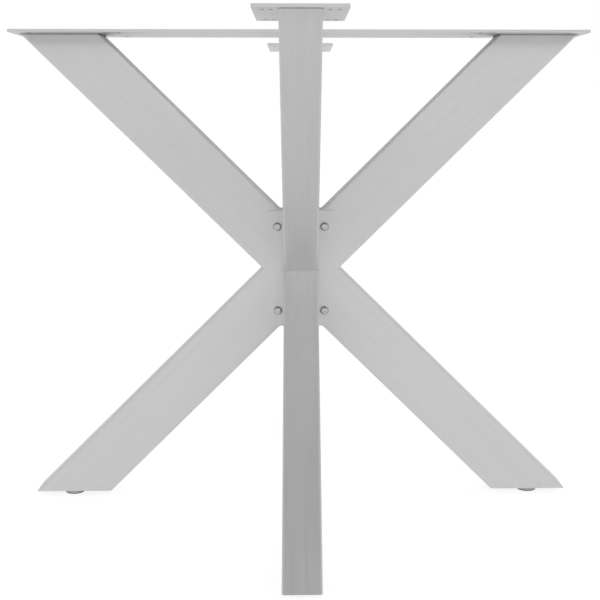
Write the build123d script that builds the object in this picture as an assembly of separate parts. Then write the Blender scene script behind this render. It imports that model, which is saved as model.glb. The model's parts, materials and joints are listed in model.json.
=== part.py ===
from build123d import *
import os
from math import hypot, radians, sin, tan

# Spider table base, in millimetres. +Z is up, the floor is Z = 0 and the hub stands over the origin.
# An X frame lies in the XZ plane. A half frame is screwed to its front, at -Y, and one to its rear.

# Box tube
tube_width = 80
tube_depth = 50
tube_wall = 2
tube_corner_radius = 3
arm_angle = 44.6

# Heights
frame_height = 700
hub_height = 354

# Top plates. The strip is what shows on each side of a tube, and holds a pair of wood screw holes in each row
plate_thickness = 4
plate_strip = 30
plate_overhang = 11
plate_corner_radius = 3
short_plate_length = 178
top_hole_diameter = 6
top_hole_from_tube = 8.5
top_hole_pitch = 10
top_hole_outer_margin = 28
top_hole_inner_margin = 22

# Flanges between the half frames and the X frame, with a strip on each side and a lip above and below the tubes
flange_thickness = 5
flange_strip = 25
flange_lip = 0.8
flange_corner_radius = 3
bolt_from_tube = 10
bolt_from_flange_end = 23.6

# Button head screws and the rivet nuts that they enter
bolt_diameter = 8
bolt_reach_past_flange = 15
bolt_hole_clearance = 1
bolt_head_diameter = 13
bolt_head_height = 4.4
bolt_head_rim = 0.8
bolt_head_top_diameter = 7.6
bolt_tip_chamfer = 0.8
socket_across_flats = 5
socket_depth = 2.6
thread_gap = 0.1
rivet_nut_diameter = 11
rivet_nut_length = 16
rivet_nut_bulge_diameter = 13.6
rivet_nut_bulge_length = 4
rivet_nut_bulge_chamfer = 0.8

# Levelling feet, which stand a little outward of the middle of the leg's cut
foot_diameter = 29
foot_outward = 3.4
foot_base_height = 7
foot_base_edge = 1
sole_height = 1.5
sole_edge = 0.5
stud_diameter = 10
stud_head_diameter = 18
stud_head_height = 2
stud_reach_past_nut = 5
stud_tip_chamfer = 1
end_plate_thickness = 4
end_plate_hole_clearance = 0.5
weld_nut_across_flats = 17
weld_nut_height = 8

# Worked out from the sizes above
leg_bottom = foot_base_height + sole_height
plate_underside = frame_height - plate_thickness
slope = tan(radians(arm_angle))
side_notch = tube_width / 2 / sin(radians(arm_angle))
arm_tip = side_notch + (plate_underside - hub_height) / slope
plate_reach = arm_tip + plate_overhang
plate_width = tube_depth + 2 * plate_strip
foot_reach = (hub_height - leg_bottom) / slope + foot_outward
x_frame_face = tube_depth / 2
flange_face = x_frame_face + flange_thickness
flange_width = tube_depth + 2 * flange_strip
upright_cut = (side_notch + flange_face) * slope
flange_height = 2 * (upright_cut + flange_lip)
bolt_x = tube_depth / 2 + bolt_from_tube
bolt_z = flange_height / 2 - bolt_from_flange_end
bar_length = 2 * (frame_height + plate_reach)

# The four directions, each turned about Z from +X
SIDES = {"right": 0, "rear": 90, "left": 180, "front": 270}
HALF_FRAMES = ("front", "rear")


def turned(shape, side):
    """Turn a shape that was made towards +X to one of the four sides."""
    return Rot(0, 0, SIDES[side]) * shape


def sloping_bar(section, angle):
    """A long bar through the hub's centre that rises towards +X at the given angle."""
    bar = extrude(section, amount=bar_length / 2, both=True)
    return Pos(0, 0, hub_height) * Rot(0, 90 - angle, 0) * bar


def tube_bore():
    inner_radius = max(tube_corner_radius - tube_wall, tube_wall / 4)
    return RectangleRounded(tube_width - 2 * tube_wall, tube_depth - 2 * tube_wall, inner_radius)


def tube_section():
    return RectangleRounded(tube_width, tube_depth, tube_corner_radius) - tube_bore()


def space_between(low_z, high_z, low_x=-bar_length):
    """Everything between two heights, and past low_x where it is given."""
    width = bar_length - low_x
    middle = Pos((bar_length + low_x) / 2, 0, (low_z + high_z) / 2)
    return middle * Box(width, bar_length, high_z - low_z)


def bolt_places():
    """The four flange screws, as X and Z on the face of the X frame."""
    return [(x, hub_height + z) for x in (-bolt_x, bolt_x) for z in (-bolt_z, bolt_z)]


def toward(side):
    """A turn that takes a piece made upwards along +Z to point away from the front or rear face."""
    return Rot(90, 0, 0) if side == "front" else Rot(-90, 0, 0)


def on_face(shape, side, distance):
    """Copies of a shape at the four screws, standing on the plane at this distance from the X frame's middle."""
    y = -distance if side == "front" else distance
    return [Pos(x, y, z) * toward(side) * shape for x, z in bolt_places()]


def rivet_nut_holes():
    drill = Cylinder(rivet_nut_diameter / 2, tube_wall * 3)
    return [hole for side in HALF_FRAMES for hole in on_face(drill, side, x_frame_face)]


def x_frame():
    """One diagonal tube runs right through, and two shorter ones are welded square against it."""
    space = space_between(leg_bottom, plate_underside)
    through = (sloping_bar(tube_section(), arm_angle) & space) - rivet_nut_holes()
    through_block = sloping_bar(Rectangle(tube_width, 2 * tube_depth), arm_angle)
    other = (sloping_bar(tube_section(), 180 - arm_angle) & space) - through_block - rivet_nut_holes()
    lower, upper = other.solids().sort_by(Axis.Z)
    return {"cross_through_tube": through, "cross_upper_tube": upper, "cross_lower_tube": lower}


def half_frame(side):
    """An arm and a leg, mitred together at the hub's height and cut off upright where the flange stands."""
    arm = sloping_bar(tube_section(), arm_angle) & space_between(hub_height, plate_underside, flange_face)
    leg = sloping_bar(tube_section(), -arm_angle) & space_between(leg_bottom, hub_height, flange_face)
    return {side + "_arm_tube": turned(arm, side), side + "_leg_tube": turned(leg, side)}


def flange(side):
    plate = extrude(RectangleRounded(flange_width, flange_height, flange_corner_radius), amount=flange_thickness)
    drill = Cylinder((bolt_diameter + bolt_hole_clearance) / 2, flange_thickness * 3)
    y = -x_frame_face if side == "front" else x_frame_face
    return Pos(0, y, hub_height) * toward(side) * plate - on_face(drill, side, x_frame_face)


def screw():
    """A button head screw that stands on its head's underside, with the shank down along -Z."""
    rim = bolt_head_diameter / 2
    flat = bolt_head_top_diameter / 2
    # The dome is part of a ball that meets the rim's upper edge and the edge of the flat top
    to_flat = bolt_head_height**2 + flat**2
    to_rim = bolt_head_rim**2 + rim**2
    ball_z = (to_flat - to_rim) / (2 * (bolt_head_height - bolt_head_rim))
    ball = Pos(0, 0, ball_z) * Sphere(hypot(rim, bolt_head_rim - ball_z))
    head = extrude(Circle(rim), amount=bolt_head_height) & ball
    socket = extrude(RegularPolygon(socket_across_flats / 2, 6, major_radius=False), amount=socket_depth)
    head -= Pos(0, 0, bolt_head_height - socket_depth) * socket
    shank_radius = bolt_diameter / 2 - thread_gap
    shank = extrude(Circle(shank_radius), amount=-(flange_thickness + bolt_reach_past_flange))
    shank = chamfer(shank.edges().group_by(Axis.Z)[0], bolt_tip_chamfer)
    return head + shank


def rivet_nut():
    """A blind rivet nut set flush in the tube's wall, with its mouth at the origin and its body down -Z."""
    body = extrude(Circle(rivet_nut_diameter / 2), amount=-rivet_nut_length)
    bulge = extrude(Circle(rivet_nut_bulge_diameter / 2), amount=-rivet_nut_bulge_length)
    bulge = chamfer(bulge.edges().group_by(Axis.Z)[0], rivet_nut_bulge_chamfer)
    bore = extrude(Circle(bolt_diameter / 2), amount=-rivet_nut_length)
    return body + Pos(0, 0, -tube_wall) * bulge - bore


def hole_grid(outer_end):
    """Two rows of four screw holes, one row near each end of a short plate that reaches this far along +X."""
    rows = [outer_end - top_hole_outer_margin, outer_end - short_plate_length + top_hole_inner_margin]
    first = tube_depth / 2 + top_hole_from_tube
    across = [first, first + top_hole_pitch, -first, -first - top_hole_pitch]
    drill = Cylinder(top_hole_diameter / 2, plate_thickness * 3)
    return [Pos(x, y, plate_underside) * drill for x in rows for y in across]


def flat_plate(length, centre_x):
    sheet = extrude(RectangleRounded(length, plate_width, plate_corner_radius), amount=plate_thickness)
    return Pos(centre_x, 0, plate_underside) * sheet


def long_top_plate():
    holes = hole_grid(plate_reach)
    return flat_plate(2 * plate_reach, 0) - holes - [turned(hole, "left") for hole in holes]


def short_top_plate(side):
    plate = flat_plate(short_plate_length, plate_reach - short_plate_length / 2)
    return turned(plate - hole_grid(plate_reach), side)


def foot_end_plate():
    """Closes the leg's bottom end inside the tube, flush with the cut."""
    plug = sloping_bar(tube_bore(), -arm_angle) & space_between(leg_bottom, leg_bottom + end_plate_thickness)
    drill = Cylinder((stud_diameter + end_plate_hole_clearance) / 2, end_plate_thickness * 3)
    return plug - Pos(foot_reach, 0, leg_bottom) * drill


def foot_weld_nut():
    nut = extrude(RegularPolygon(weld_nut_across_flats / 2, 6, major_radius=False), amount=weld_nut_height)
    nut -= extrude(Circle(stud_diameter / 2 + thread_gap), amount=weld_nut_height)
    return Pos(foot_reach, 0, leg_bottom + end_plate_thickness) * nut


def foot_stud():
    """A threaded stud whose flat head is held in the underside of the foot's base."""
    top = leg_bottom + end_plate_thickness + weld_nut_height + stud_reach_past_nut
    head = extrude(Circle(stud_head_diameter / 2), amount=stud_head_height)
    shank = extrude(Circle(stud_diameter / 2), amount=top - sole_height)
    shank = chamfer(shank.edges().group_by(Axis.Z)[-1], stud_tip_chamfer)
    return Pos(foot_reach, 0, sole_height) * (head + shank)


def foot_base():
    base = extrude(Circle(foot_diameter / 2), amount=foot_base_height)
    base = fillet(base.edges().group_by(Axis.Z)[-1], foot_base_edge)
    base -= extrude(Circle(stud_diameter / 2), amount=foot_base_height)
    base -= extrude(Circle(stud_head_diameter / 2), amount=stud_head_height)
    return Pos(foot_reach, 0, sole_height) * base


def foot_sole():
    sole = extrude(Circle(foot_diameter / 2), amount=sole_height)
    sole = chamfer(sole.edges().group_by(Axis.Z)[0], sole_edge)
    return Pos(foot_reach, 0, 0) * sole


def foot_pieces(side):
    made = {
        "foot_end_plate": foot_end_plate(),
        "foot_weld_nut": foot_weld_nut(),
        "foot_stud": foot_stud(),
        "foot_base": foot_base(),
        "foot_sole": foot_sole(),
    }
    return {side + "_" + name: turned(shape, side) for name, shape in made.items()}


def table_base():
    pieces = x_frame()
    pieces["long_top_plate"] = long_top_plate()
    for side in HALF_FRAMES:
        pieces.update(half_frame(side))
        pieces[side + "_top_plate"] = short_top_plate(side)
        pieces[side + "_flange"] = flange(side)
        pieces[side + "_flange_screws"] = Compound(on_face(screw(), side, flange_face))
        pieces[side + "_rivet_nuts"] = Compound(on_face(rivet_nut(), side, x_frame_face))
    for side in SIDES:
        pieces.update(foot_pieces(side))
    return pieces


os.makedirs("parts", exist_ok=True)
for name, shape in table_base().items():
    export_step(shape, os.path.join("parts", name + ".step"))
    print(name, round(shape.volume))
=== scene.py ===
# %% [markdown]
# # A spider table base in brushed steel
#
# The object is the steel base of a dining table: four box tube arms rise from a hub to flat top plates,
# and four legs fall from it to round feet. The shapes come from a CAD model, which this script loads and
# never moves. What is left to make here is everything that the eye reads as steel, plastic and rubber,
# the weld seams, and the studio in which the base was photographed.

import json
from math import cos, pi, radians, sin, tan

import bmesh
import bpy
from mathutils import Euler, Matrix, Vector


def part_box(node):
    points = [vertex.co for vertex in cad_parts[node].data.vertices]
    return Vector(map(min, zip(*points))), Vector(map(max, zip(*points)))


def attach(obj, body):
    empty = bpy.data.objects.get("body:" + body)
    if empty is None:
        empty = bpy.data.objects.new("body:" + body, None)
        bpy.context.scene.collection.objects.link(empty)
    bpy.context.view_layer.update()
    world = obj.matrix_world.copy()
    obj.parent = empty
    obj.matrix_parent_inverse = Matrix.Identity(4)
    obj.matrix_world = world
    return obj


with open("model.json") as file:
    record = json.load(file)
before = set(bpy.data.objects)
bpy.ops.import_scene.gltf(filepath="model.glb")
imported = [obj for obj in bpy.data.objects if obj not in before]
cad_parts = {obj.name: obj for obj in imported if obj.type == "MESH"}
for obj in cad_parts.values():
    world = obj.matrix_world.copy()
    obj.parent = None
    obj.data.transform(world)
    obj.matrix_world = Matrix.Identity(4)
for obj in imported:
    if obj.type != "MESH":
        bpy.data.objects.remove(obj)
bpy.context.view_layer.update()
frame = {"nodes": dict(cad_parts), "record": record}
nodes = frame["nodes"]
print("CAD nodes:", len(nodes))

# %% [markdown]
# ## The camera
#
# The photograph was taken a little above the hub, with a lens of about 66 mm on a full frame camera, and
# tilted down by nine degrees. A camera could be placed by eye, but then every edge would be a few pixels
# off. These values come from a fit of the object's edges, so the render can be laid over the photograph.
# The camera looks about one degree to the right of the hub, and the picture was cropped a little off its
# centre, which the shift of the lens stands for. Lengths are in metres and angles in radians.

# %% Place the camera
CAMERA_PLACE = (-0.00184, -1.65978, 0.57616)
TURNED_RIGHT = 0.0189
TILT_DOWN = 0.1639
LENS_MM = 66.117
FRAME_SHIFT = -0.03404
SENSOR_MM = 36.0

camera_data = bpy.data.cameras.new("camera")
camera_data.lens = LENS_MM
camera_data.sensor_width = SENSOR_MM
camera_data.shift_x = FRAME_SHIFT
camera = bpy.data.objects.new("camera", camera_data)
bpy.context.scene.collection.objects.link(camera)
aim = Matrix.Rotation(-TURNED_RIGHT, 4, "Z") @ Matrix.Rotation(pi / 2 - TILT_DOWN, 4, "X")
camera.matrix_world = Matrix.Translation(CAMERA_PLACE) @ aim
bpy.context.scene.camera = camera
bpy.context.scene.view_settings.view_transform = "Standard"
print("camera at", tuple(round(v, 3) for v in camera.location))

# %% [markdown]
# ## Helpers for node trees
#
# A material is a small graph. Writing each node and each link on its own line hides the idea, so one
# helper makes a node, sets what it is told to, and links what it is given. A value that is a socket is
# linked, and any other value is written on the socket itself.


# %% Make nodes in one line each
def add_node(tree, kind, settings=None, **inputs):
    """A node of this kind. Input names are written with _ for a space, and in_0 is the socket number 0."""
    node = tree.nodes.new("ShaderNode" + kind)
    for key, value in (settings or {}).items():
        setattr(node, key, value)
    for key, value in inputs.items():
        socket = node.inputs[int(key[3:])] if key.startswith("in_") else node.inputs[key.replace("_", " ")]
        if isinstance(value, bpy.types.NodeSocket):
            tree.links.new(value, socket)
        else:
            socket.default_value = value
    return node


def reckon(tree, operation, first, second):
    """The result of a Math node on two values."""
    return add_node(tree, "Math", {"operation": operation}, in_0=first, in_1=second).outputs[0]


def grey(value):
    return (value, value, value, 1.0)


print("a white has the colour", grey(1.0))


# %% Open and close a material
def new_material(name):
    material = bpy.data.materials.new(name)
    material.use_nodes = True
    material.node_tree.nodes.clear()
    return material, material.node_tree


def finish_material(material, tree, shader):
    """Links the shader to the material's output and says that the material is ready."""
    output = tree.nodes.new("ShaderNodeOutputMaterial")
    tree.links.new(shader.outputs[0], output.inputs["Surface"])
    print("mixed:", material.name)
    return material


# %% [markdown]
# ## The studio
#
# Satin steel has hardly any look of its own: it shows the room, blurred. This room has pale walls, a shade
# brighter behind the object. Above them runs a ring of soft boxes: brightest behind the camera, a little
# dimmer on the left than on the right, and dimmest behind the object. The ceiling is grey, and right
# overhead it is dark on the camera's side and pale on the far side. That is what gives the upright faces,
# the falling leg and the rising arm their three greys, and the rounded corners their dark and light lines.
#
# The room could be built from walls and lamps, but a gradient in the world shader renders without noise.
# Every kind of ray sees the same room, so the white behind the object is also what the steel shows.
#
# In a world shader the direction of a ray comes as a vector of length one. Its Z is the height above the
# horizon, 0 at the horizon and 1 overhead, and its Y is negative towards the camera's side. Each level
# below is a strength, where 1 is white, and each edge says where one level fades into the next.

# %% Choose the levels and edges of the room
BACK_WALL = 1.01
OTHER_WALLS = 0.97
FRONT_BOXES_LOW = 0.3
FRONT_BOXES_HIGH = 1.9
LEFT_BOXES = 0.7
RIGHT_BOXES = 0.9
BACK_BOXES = 0.5
CEILING = 0.44
OVERHEAD_FRONT = 0.05
OVERHEAD_BACK = 0.80

LEFT_TO_RIGHT = (-0.3, 0.3)
SIDES_TO_FRONT = (-0.2, -0.6)
SIDES_TO_BACK = (0.2, 0.6)
OVERHEAD_FRONT_TO_BACK = (-0.25, 0.10)
WALLS_TO_BOXES = (0.10, 0.25)
FRONT_BOXES_LOW_TO_HIGH = (0.28, 0.42)
BOXES_TO_CEILING = (0.45, 0.70)
CEILING_TO_OVERHEAD = (0.80, 0.92)
print("soft boxes from", BACK_BOXES, "to", FRONT_BOXES_HIGH)

# %% Light the room
world = bpy.data.worlds.new("studio")
world.use_nodes = True
bpy.context.scene.world = world
room = world.node_tree
room.nodes.clear()


def fade(value, edge):
    """0 before the edge, 1 after it, and smooth between its two ends."""
    smooth = {"interpolation_type": "SMOOTHSTEP"}
    return add_node(room, "MapRange", smooth, Value=value, From_Min=edge[0], From_Max=edge[1]).outputs[0]


def mixed(factor, low, high):
    return add_node(room, "Mix", {"data_type": "FLOAT"}, in_0=factor, in_2=low, in_3=high).outputs[0]


direction = add_node(room, "SeparateXYZ", in_0=add_node(room, "TexCoord").outputs["Generated"])
x_way, y_way, z_way = direction.outputs
towards_front = fade(y_way, SIDES_TO_FRONT)
towards_back = fade(y_way, SIDES_TO_BACK)
side_boxes = mixed(fade(x_way, LEFT_TO_RIGHT), LEFT_BOXES, RIGHT_BOXES)
front_boxes = mixed(fade(z_way, FRONT_BOXES_LOW_TO_HIGH), FRONT_BOXES_LOW, FRONT_BOXES_HIGH)
boxes = mixed(towards_back, mixed(towards_front, side_boxes, front_boxes), BACK_BOXES)
walls = mixed(towards_back, OTHER_WALLS, BACK_WALL)
walls_and_boxes = mixed(fade(z_way, WALLS_TO_BOXES), walls, boxes)
overhead = mixed(fade(y_way, OVERHEAD_FRONT_TO_BACK), OVERHEAD_FRONT, OVERHEAD_BACK)
ceiling = mixed(fade(z_way, CEILING_TO_OVERHEAD), CEILING, overhead)
strength = mixed(fade(z_way, BOXES_TO_CEILING), walls_and_boxes, ceiling)
background = add_node(room, "Background", Color=grey(1.0), Strength=strength)
world_output = room.nodes.new("ShaderNodeOutputWorld")
room.links.new(background.outputs[0], world_output.inputs["Surface"])
print("room:", len(room.nodes), "nodes")

# %% [markdown]
# ## The soft box
#
# One large lamp stands behind the camera, a little to its right. It gives the round feet and the screw
# heads a direction, and it draws the soft shadow that ties the legs to the floor. The camera does not see
# it, so that no view from another side has a white square in it, and neither do reflections: for the
# steel, the bright front of the room already stands for the soft boxes.

# %% Hang the soft box
SOFT_BOX_PLACE = Vector((0.9, -3.0, 1.5))
SOFT_BOX_AIM = Vector((0, 0, 0.35))
SOFT_BOX_SIZE = (2.4, 1.6)
SOFT_BOX_WATTS = 6.0

lamp_data = bpy.data.lights.new("soft_box", "AREA")
lamp_data.shape = "RECTANGLE"
lamp_data.size, lamp_data.size_y = SOFT_BOX_SIZE
lamp_data.energy = SOFT_BOX_WATTS
lamp = bpy.data.objects.new("soft_box", lamp_data)
lamp.location = SOFT_BOX_PLACE
lamp.rotation_euler = (SOFT_BOX_PLACE - SOFT_BOX_AIM).to_track_quat("Z", "Y").to_euler()
lamp.visible_camera = False
lamp.visible_glossy = False
bpy.context.scene.collection.objects.link(lamp)
print("soft box:", SOFT_BOX_WATTS, "W")

# %% [markdown]
# ## The floor
#
# The floor is a wide pale sheet. A camera exposed for grey steel sees such a sheet as pure white, with only
# a breath of shadow under the legs. More light would do that too, and spoil the steel. So the sheet's paint
# is a plain grey that catches the shadow, and it glows for rays from the camera and for reflections, by as
# much as makes it white. From below it lets the view through, so that the underside can be looked at.

# %% Cut the sheet
FLOOR_RADIUS = 30.0
FLOOR_SIDES = 96

mesh = bmesh.new()
bmesh.ops.create_circle(mesh, cap_ends=True, segments=FLOOR_SIDES, radius=FLOOR_RADIUS)
floor_mesh = bpy.data.meshes.new("floor")
mesh.to_mesh(floor_mesh)
mesh.free()
floor = bpy.data.objects.new("floor", floor_mesh)
bpy.context.scene.collection.objects.link(floor)
print("floor radius in metres:", FLOOR_RADIUS)

# %% Paint the sheet
FLOOR_PAINT = 0.38
FLOOR_GLOW = 0.80

floor_material, tree = new_material("white_floor")
ray = add_node(tree, "LightPath").outputs
seen = reckon(tree, "MAXIMUM", ray["Is Camera Ray"], ray["Is Glossy Ray"])
seen = reckon(tree, "MAXIMUM", seen, ray["Is Transmission Ray"])
paint = add_node(tree, "BsdfDiffuse", Color=grey(FLOOR_PAINT)).outputs[0]
glow = add_node(tree, "Emission", Color=grey(1.0), Strength=reckon(tree, "MULTIPLY", seen, FLOOR_GLOW)).outputs[0]
both = add_node(tree, "AddShader", in_0=paint, in_1=glow).outputs[0]
from_below = add_node(tree, "NewGeometry").outputs["Backfacing"]
clear = add_node(tree, "BsdfTransparent").outputs[0]
floor_shader = add_node(tree, "MixShader", in_0=from_below, in_1=both, in_2=clear)
floor_mesh.materials.append(finish_material(floor_material, tree, floor_shader))

# %% [markdown]
# ## Patterns that run along a piece
#
# An image of brushed metal could be wrapped round each piece, but it would show a seam and repeat. Noise
# that is stretched along the piece does neither. The Mapping node, in its texture mode, turns the pattern
# so that its X runs along the tube, and its scale is the length and width of a scratch in metres. Noise
# seldom leaves the middle of its range, so a second helper spreads that middle over the values we want.

# %% Stretch a noise along the grain
NOISE_ROUGHNESS = 0.55
NOISE_MIDDLE = (0.3, 0.7)
NO_TURN = (0, 0, 0)
NO_OFFSET = (0, 0, 0)


def stretched_noise(tree, grain, size, detail, offset):
    """Noise whose cells have this size in metres, with their length along the grain."""
    place = add_node(tree, "TexCoord").outputs["Object"]
    along_piece = {"vector_type": "TEXTURE"}
    turned = add_node(tree, "Mapping", along_piece, Vector=place, Location=offset, Rotation=grain, Scale=size)
    solid = {"noise_dimensions": "3D"}
    noise = add_node(
        tree, "TexNoise", solid, Vector=turned.outputs[0], Scale=1.0, Detail=detail, Roughness=NOISE_ROUGHNESS
    )
    return noise.outputs[0]


def blend_value(tree, noise, low, high):
    """A value that goes from low to high as the noise goes through its middle."""
    start, end = NOISE_MIDDLE
    ranged = add_node(tree, "MapRange", None, Value=noise, From_Min=start, From_Max=end, To_Min=low, To_Max=high)
    return ranged.outputs[0]


def grey_tint(tree, tone):
    """A colour socket that is this tone of grey."""
    return add_node(tree, "CombineColor", None, Red=tone, Green=tone, Blue=tone).outputs[0]


print("noise is spread from", NOISE_MIDDLE)

# %% [markdown]
# ## Brushed steel
#
# The tubes and plates are satin stainless steel. A belt with fine grit is drawn along each piece, and it
# leaves scratches a fraction of a millimetre wide and a few centimetres long, which all run along the
# piece. Broader, fainter bands lie between them where the belt pressed harder, and fainter clouds too.
#
# Bare steel has a Metallic of 1. But the finest scratches scatter much of the light evenly, as paint does,
# and a half is nearer to what the photograph shows. The tangent runs along the scratches, a hair off the
# axes, and a quarter turn of the anisotropy stretches each highlight across them, as on the real tube.

# %% Choose the grit and the shine
STEEL_COLOUR = 0.72
STEEL_METAL = 0.5
STEEL_ROUGHNESS = 0.42
STEEL_ANISOTROPY = 0.3
QUARTER_TURN = 0.25
NEARLY_ALONG = Vector((1.0, 0.02, 0.02)).normalized()

SCRATCH = (0.045, 0.00045, 0.00045)
BAND = (0.35, 0.006, 0.006)
CLOUD = (0.16, 0.05, 0.05)
SCRATCH_OFFSET = (0.11, 0.07, 0.03)
BAND_OFFSET = (0.5, 0.2, 0.9)
CLOUD_OFFSET = (0.3, 0.8, 0.1)
GRAIN_DETAIL = 2.0
CLOUD_DETAIL = 1.0

SCRATCH_TONES = (STEEL_COLOUR * 0.955, STEEL_COLOUR * 1.035)
BAND_TONE = 0.012
CLOUD_TONE = 0.006
SCRATCH_ROUGHNESS = 0.05
BAND_ROUGHNESS = 0.02
SCRATCH_BUMP = 0.10
BUMP_DEPTH = 0.0002
print("a scratch is", SCRATCH[0] * 1000, "mm long and", SCRATCH[1] * 1000, "mm wide")


# %% Mix the brushed steel
def brushed_steel(name, grain):
    """Satin steel brushed along the local X of a pattern that is turned by the grain's angles."""
    material, tree = new_material(name)
    scratches = stretched_noise(tree, grain, SCRATCH, GRAIN_DETAIL, SCRATCH_OFFSET)
    bands = stretched_noise(tree, grain, BAND, GRAIN_DETAIL, BAND_OFFSET)
    clouds = stretched_noise(tree, grain, CLOUD, CLOUD_DETAIL, CLOUD_OFFSET)
    tone = blend_value(tree, scratches, *SCRATCH_TONES)
    tone = reckon(tree, "ADD", tone, blend_value(tree, bands, -BAND_TONE, BAND_TONE))
    tone = reckon(tree, "ADD", tone, blend_value(tree, clouds, -CLOUD_TONE, CLOUD_TONE))
    smoothest, roughest = STEEL_ROUGHNESS - SCRATCH_ROUGHNESS, STEEL_ROUGHNESS + SCRATCH_ROUGHNESS
    rough = blend_value(tree, scratches, smoothest, roughest)
    rough = reckon(tree, "ADD", rough, blend_value(tree, bands, -BAND_ROUGHNESS, BAND_ROUGHNESS))
    relief = add_node(tree, "Bump", None, Strength=SCRATCH_BUMP, Distance=BUMP_DEPTH, Height=scratches)
    along = Euler(grain).to_matrix() @ NEARLY_ALONG
    tangent = add_node(tree, "CombineXYZ", None, X=along.x, Y=along.y, Z=along.z)
    shader = add_node(
        tree,
        "BsdfPrincipled",
        None,
        Base_Color=grey_tint(tree, tone),
        Metallic=STEEL_METAL,
        Roughness=rough,
        Anisotropic=STEEL_ANISOTROPY,
        Anisotropic_Rotation=QUARTER_TURN,
        Tangent=tangent.outputs[0],
        Normal=relief.outputs[0],
    )
    return finish_material(material, tree, shader)


# %% [markdown]
# ## Which way each piece is brushed
#
# A piece is brushed along its length before it is welded in, so the grain turns by 90 degrees from arm to
# leg, and that is what makes the joints readable. Each grain is written as the pattern's turn: the rise
# above the floor is a turn about Y, and the direction over the floor is a turn about Z.

# %% Brush the tubes and plates
ARM_RISE = radians(44.6)
FRONTWARD = radians(270)
UPRIGHT = radians(90)

GRAINS = {
    "steel_rising_right": ((0, -ARM_RISE, 0), ["cross_through_tube"]),
    "steel_rising_left": ((0, ARM_RISE, 0), ["cross_upper_tube", "cross_lower_tube"]),
    "steel_rising_to_front": ((0, -ARM_RISE, FRONTWARD), ["front_arm_tube", "rear_leg_tube"]),
    "steel_rising_to_rear": ((0, ARM_RISE, FRONTWARD), ["front_leg_tube", "rear_arm_tube"]),
    "steel_left_to_right": (NO_TURN, ["long_top_plate"]),
    "steel_front_to_rear": ((0, 0, FRONTWARD), ["front_top_plate", "rear_top_plate"]),
    "steel_upright": ((0, UPRIGHT, 0), ["front_flange", "rear_flange"]),
}

dressed = set()


def dress(material, endings):
    """Puts the material on every CAD node whose name has one of these endings."""
    for node_name, node in nodes.items():
        if node_name.endswith(tuple(endings)):
            for slot in node.material_slots:
                slot.material = material
            dressed.add(node_name)


brushed = {}
for name, (grain, pieces) in GRAINS.items():
    brushed[name] = brushed_steel(name, grain)
    dress(brushed[name], pieces)
print("brushed:", len(dressed), "pieces")

# %% [markdown]
# ## Finishes with small cells
#
# Plating, rolled sheet, moulded plastic and rubber have no grain. Up close each is a field of small round
# cells that differ a little in tone and in gloss. They could be four materials, but they only differ in
# their numbers, so one helper mixes them all: the size of a cell, how dark and how rough it gets, how much
# of a metal it is, and how deep its relief is.


# %% Mix a finish with small cells
CELL_DETAIL = 3.0
METAL = 1.0
NO_METAL = 0.0
NO_RELIEF = 0


def cell_finish(name, cell, detail, tones, roughness, metal, relief):
    """A finish whose tone and roughness go from low to high over cells of this size in metres."""
    material, tree = new_material(name)
    cells = stretched_noise(tree, NO_TURN, cell, detail, NO_OFFSET)
    shader = add_node(
        tree,
        "BsdfPrincipled",
        None,
        Base_Color=grey_tint(tree, blend_value(tree, cells, *tones)),
        Metallic=metal,
        Roughness=blend_value(tree, cells, *roughness),
    )
    if relief:
        bump = add_node(tree, "Bump", None, Strength=relief, Distance=BUMP_DEPTH, Height=cells)
        tree.links.new(bump.outputs[0], shader.inputs["Normal"])
    return finish_material(material, tree, shader)


# %% [markdown]
# ## Screws, nuts and studs
#
# The button head screws are pressed and rolled, not brushed, so they are smoother than the tubes and show
# the room in sharper, darker patches. Their plating is slightly uneven, and that moves the roughness more
# than the colour.

# %% Plate the screws
SCREW_COLOUR = 0.50
SCREW_ROUGHNESS = 0.20
PLATING_CELL = (0.0012, 0.0012, 0.0012)
PLATING_TONES = (0.9, 1.08)
PLATING_LESS_ROUGH = 0.05
PLATING_MORE_ROUGH = 0.07
PLATING_RELIEF = 0.08


def plated_steel(name, colour, roughness, cell):
    tones = [colour * share for share in PLATING_TONES]
    range_of_gloss = (roughness - PLATING_LESS_ROUGH, roughness + PLATING_MORE_ROUGH)
    return cell_finish(name, cell, CELL_DETAIL, tones, range_of_gloss, METAL, PLATING_RELIEF)


screw_steel = plated_steel("plated_screw_steel", SCREW_COLOUR, SCREW_ROUGHNESS, PLATING_CELL)
dress(screw_steel, ["_flange_screws", "_rivet_nuts", "_foot_stud", "_foot_weld_nut"])
print("dressed so far:", len(dressed), "pieces")

# %% [markdown]
# ## The end plates
#
# Inside each leg's mouth sits a small plate that carries the foot. Nobody brushes it: it is cut from
# rolled sheet and has the duller, cloudy skin that the mill left. Cells that are large, soft and a little
# longer than wide give that, with a rougher surface.

# %% Leave the end plates as rolled
ROLLED_CELL = (0.012, 0.009, 0.009)
ROLLED_TONES = (0.30, 0.40)
ROLLED_ROUGHNESS = (0.45, 0.62)
ROLLED_DETAIL = 5.0

rolled_steel = cell_finish(
    "rolled_steel", ROLLED_CELL, ROLLED_DETAIL, ROLLED_TONES, ROLLED_ROUGHNESS, METAL, NO_RELIEF
)
dress(rolled_steel, ["_foot_end_plate"])
print("dressed so far:", len(dressed), "pieces")

# %% [markdown]
# ## The feet
#
# The levelling feet are moulded in light grey plastic, with a dark rubber sole that keeps them from
# sliding. Moulded plastic has a fine, even texture from the mould, and the rubber is a little dusty, which
# its wider spread of tones gives. Both textures have the size of the real ones.

# %% Mould the feet
FOOT_GREY = 0.84
FOOT_ROUGHNESS = 0.5
FOOT_SPREAD = 0.05
FOOT_CELL = 0.0008
SOLE_GREY = 0.24
SOLE_ROUGHNESS = 0.75
SOLE_SPREAD = 0.18
SOLE_CELL = 0.0015
MOULD_GLOSS_SPREAD = 0.06
MOULD_RELIEF = 0.25


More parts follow.
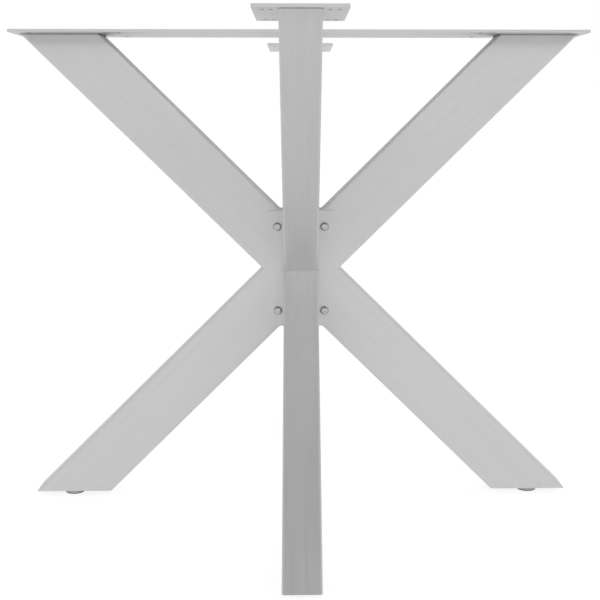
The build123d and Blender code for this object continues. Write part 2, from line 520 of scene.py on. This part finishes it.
def moulded(name, colour, roughness, spread, cell):
    tones = (colour * (1 - spread), colour * (1 + spread))
    range_of_gloss = (roughness - MOULD_GLOSS_SPREAD, roughness + MOULD_GLOSS_SPREAD)
    return cell_finish(name, (cell, cell, cell), CELL_DETAIL, tones, range_of_gloss, NO_METAL, MOULD_RELIEF)


dress(moulded("grey_foot_plastic", FOOT_GREY, FOOT_ROUGHNESS, FOOT_SPREAD, FOOT_CELL), ["_foot_base"])
dress(moulded("dark_sole_rubber", SOLE_GREY, SOLE_ROUGHNESS, SOLE_SPREAD, SOLE_CELL), ["_foot_sole"])
print("nodes without a finish of their own:", sorted(set(nodes) - dressed))

# %% [markdown]
# ## Weld seams
#
# Where a tube meets a plate, a narrow weld runs all the way round it. The corner under each top plate lies
# in shade and shows a thin dark line, so the seam is painted dark: its colour is painted shade for that
# corner. One could sweep a round wire along the joint. But a seam fills its corner with flat flanks, so a
# ring suits it better: the tube's cut as a rectangle with rounded corners, set out by the seam's width,
# made a ring, thickened and rounded off.

# %% Mix the seam's finish, painted dark as the shade in its corner
# The seam's colour is painted shade: dark for the shade in the corner where a tube meets a plate.
SEAM_SHADE_COLOUR = 0.26
SEAM_ROUGHNESS = 0.5
SEAM_CELL = (0.002, 0.002, 0.002)

weld_painted_shade = plated_steel("weld_painted_shade", SEAM_SHADE_COLOUR, SEAM_ROUGHNESS, SEAM_CELL)

# %% Make a ring from a flat outline
TUBE_DEPTH = 0.050
TUBE_WIDTH = 0.080
TUBE_CORNER = 0.003
CORNER_STEPS = 4
BEVEL = {"profile": 0.5, "material": -1}


def tube_outline(length, width, corner):
    """A bmesh with one flat face: a rectangle round the origin with rounded corners."""
    mesh = bmesh.new()
    bmesh.ops.create_grid(mesh, x_segments=1, y_segments=1, size=0.5)
    bmesh.ops.scale(mesh, vec=(length, width, 1.0), verts=mesh.verts)
    bmesh.ops.bevel(mesh, geom=mesh.verts[:], offset=corner, segments=CORNER_STEPS, affect="VERTICES", **BEVEL)
    return mesh


def make_ring(mesh, wall, height):
    """Turns the flat face into a ring with this wall, from Z = 0 down by the height."""
    middle = mesh.faces[:]
    bmesh.ops.inset_region(mesh, faces=middle, thickness=wall, use_even_offset=True, use_boundary=True)
    bmesh.ops.delete(mesh, geom=middle, context="FACES_ONLY")
    bmesh.ops.solidify(mesh, geom=mesh.faces[:], thickness=height)
    highest = max(vert.co.z for vert in mesh.verts)
    bmesh.ops.translate(mesh, vec=(0, 0, -highest), verts=mesh.verts)
    return mesh


print("the tube is", TUBE_WIDTH, "by", TUBE_DEPTH, "m")

# %% Finish a piece
MERGE_WITHIN = 1e-6
SHARP_FROM = radians(35)
print("an edge is sharp from", round(SHARP_FROM, 2), "radians")


def finish_piece(mesh, name, material):
    """Makes a mesh object of the bmesh, closed and facing outwards, that rides on the base."""
    bmesh.ops.remove_doubles(mesh, verts=mesh.verts, dist=MERGE_WITHIN)
    bmesh.ops.recalc_face_normals(mesh, faces=mesh.faces)
    open_edges = sum(1 for edge in mesh.edges if len(edge.link_faces) != 2)
    data = bpy.data.meshes.new(name)
    mesh.to_mesh(data)
    mesh.free()
    data.materials.append(material)
    data.shade_smooth()
    data.set_sharp_from_angle(angle=SHARP_FROM)
    piece = bpy.data.objects.new(name, data)
    bpy.context.scene.collection.objects.link(piece)
    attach(piece, "root")
    print(name, len(data.polygons), "faces,", open_edges, "open edges")


# %% Make a seam round a tube's cut
SEAM_OVERLAP = 0.0004
SEAM_ROUNDING = 0.4
RIM_STEPS = 2
FACES_DOWN = -0.5
print("a seam overlaps its tube by", SEAM_OVERLAP, "m")


def seam_ring(length, width, seam):
    """A seam of this width round a cut of this size: flat side up at Z = 0, and its rounded rim below."""
    outline = tube_outline(length + 2 * seam, width + 2 * seam, TUBE_CORNER + seam)
    mesh = make_ring(outline, seam + SEAM_OVERLAP, seam)
    low_edges = [edge for edge in mesh.edges if all(vert.co.z < -seam / 2 for vert in edge.verts)]
    rims = [edge for edge in low_edges if any(face.normal.z > FACES_DOWN for face in edge.link_faces)]
    bmesh.ops.bevel(mesh, geom=rims, offset=seam * SEAM_ROUNDING, segments=RIM_STEPS, affect="EDGES", **BEVEL)
    return mesh


# %% [markdown]
# ## Seams under the top plates
#
# The arm leaves its plate at a slope, so the seam leans with it: a shear moves each point towards the hub
# by as much as the arm runs inwards at that depth. One seam is made for the right-hand arm, and turned
# about Z for the other three. The half frames are light enough for a finer seam than the X frame has.

# %% Run the seams round the arms
X_FRAME_SEAM = 0.0015
HALF_FRAME_SEAM = 0.0006

arm_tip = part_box("cross_through_tube")[1][0]
plate_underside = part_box("cross_through_tube")[1][2]
arm_cut = TUBE_WIDTH / sin(ARM_RISE)
run_per_drop = 1 / tan(ARM_RISE)
arm_seams = {"right": X_FRAME_SEAM, "rear": HALF_FRAME_SEAM, "left": X_FRAME_SEAM, "front": HALF_FRAME_SEAM}

for number, (side, seam) in enumerate(arm_seams.items()):
    mesh = seam_ring(arm_cut, TUBE_DEPTH, seam)
    lean = Matrix.Shear("XY", 4, (run_per_drop, 0))
    place = Matrix.Translation((arm_tip - arm_cut / 2, 0, plate_underside))
    turn = Matrix.Rotation(number * pi / 2, 4, "Z")
    bmesh.ops.transform(mesh, matrix=turn @ place @ lean, verts=mesh.verts)
    finish_piece(mesh, side + "_arm_seam", weld_painted_shade)

# %% [markdown]
# ## Seams on the flanges
#
# An arm and a leg of each half frame end on one flange, so one seam runs round both. It is the same ring,
# stood up on the flange's face, and as tall as the two cuts together.

# %% Run the seams round the half frames
flange_low, flange_high = (Vector(corner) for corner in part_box("front_flange"))
flange_face = -flange_low.y
hub_height = (flange_high.z + flange_low.z) / 2
cuts_height = 2 * (TUBE_WIDTH / 2 / cos(ARM_RISE) + flange_face * tan(ARM_RISE))

for number, side in enumerate(("front", "rear")):
    mesh = seam_ring(TUBE_DEPTH, cuts_height, HALF_FRAME_SEAM)
    stand = Matrix.Translation((0, -flange_face, hub_height)) @ Matrix.Rotation(-pi / 2, 4, "X")
    turn = Matrix.Rotation(number * pi, 4, "Z")
    bmesh.ops.transform(mesh, matrix=turn @ stand, verts=mesh.verts)
    finish_piece(mesh, side + "_flange_seam", weld_painted_shade)

# %% [markdown]
# ## Butt welds at the crossing
#
# The X frame's upper and lower tubes end on the sides of the tube that runs through. Its corners are
# rounded, which leaves a small groove along each joint. A welder fills the groove and grinds it flush, so
# that no line is left. The weld is a ring as deep as the rounding, with the outline of the tube, and it is
# brushed together with the tube that ends there. It leans with that tube, as the seams lean with theirs.

# %% Fill the grooves at the crossing
BUTT_WALL = 0.0015
CROSSING_ANGLE = 2 * ARM_RISE

for name, half_turn in (("upper_butt_weld", 0), ("lower_butt_weld", pi)):
    outline = tube_outline(TUBE_WIDTH / sin(CROSSING_ANGLE), TUBE_DEPTH, TUBE_CORNER)
    mesh = make_ring(outline, BUTT_WALL, TUBE_CORNER)
    lean = Matrix.Shear("XY", 4, (-1 / tan(CROSSING_ANGLE), 0))
    on_tube = Matrix.Translation((0, 0, TUBE_WIDTH / 2))
    along_tube = Matrix.Translation((0, 0, hub_height)) @ Matrix.Rotation(-ARM_RISE, 4, "Y")
    turn = Matrix.Rotation(half_turn, 4, "Y")
    bmesh.ops.transform(mesh, matrix=along_tube @ turn @ lean @ on_tube, verts=mesh.verts)
    finish_piece(mesh, name, brushed["steel_rising_left"])

# %% [markdown]
# ## The walls of the screw holes
#
# The holes in the top plates are punched, and from below each hole is a small dark spot, the shade inside
# it. The plate's own brushed finish would make the walls as bright as the plate. So each hole gets a thin
# sleeve inside its wall, painted near black as painted shade, and the record says where the holes are.

# %% Mix the painted shade for the hole walls and measure the plate
# The hole walls' colour is painted shade: near black for the shade inside each hole.
HOLE_SHADE_COLOUR = 0.05
HOLE_ROUGHNESS = 0.6
SLEEVE_SHORT_BY = 0.0002

hole_painted_shade = plated_steel("hole_painted_shade", HOLE_SHADE_COLOUR, HOLE_ROUGHNESS, PLATING_CELL)
plate_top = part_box("long_top_plate")[1][2]
sleeve_top = plate_top - SLEEVE_SHORT_BY
sleeve_height = plate_top - plate_underside - 2 * SLEEVE_SHORT_BY
print("a sleeve is", round(sleeve_height, 4), "m high")

# %% Line the holes of the top plates
HOLE_SIDES = 24
SLEEVE_WALL = 0.0003
MM = 0.001
PLATE_SIDES = {"long": ("left", "right"), "front": ("front",), "rear": ("rear",)}


def sleeve(radius, place):
    """One sleeve for a hole of this radius, at its place."""
    mesh = bmesh.new()
    bmesh.ops.create_circle(mesh, cap_ends=True, segments=HOLE_SIDES, radius=radius)
    make_ring(mesh, SLEEVE_WALL, sleeve_height)
    bmesh.ops.translate(mesh, vec=(*place, sleeve_top), verts=mesh.verts)
    return mesh


def holes_of(mount):
    """The places of a pattern's four holes."""
    across = mount["dims"]["spacing_x_mm"] * MM / 2
    along = mount["dims"]["spacing_y_mm"] * MM / 2
    middle = mount["pos_m"]
    return [(middle[0] + x * across, middle[1] + y * along) for x in (-1, 1) for y in (-1, 1)]


for plate, sides in PLATE_SIDES.items():
    together = bmesh.new()
    carrier = bpy.data.meshes.new(plate + "_sleeve")
    for mount in frame["record"]["mounts"]:
        if mount["name"].endswith("_top_holes") and mount["name"].startswith(sides):
            for place in holes_of(mount):
                single = sleeve(mount["dims"]["hole_r_mm"] * MM, place)
                single.to_mesh(carrier)
                single.free()
                together.from_mesh(carrier)
    bpy.data.meshes.remove(carrier)
    finish_piece(together, plate + "_plate_hole_shade_sleeves", hole_painted_shade)
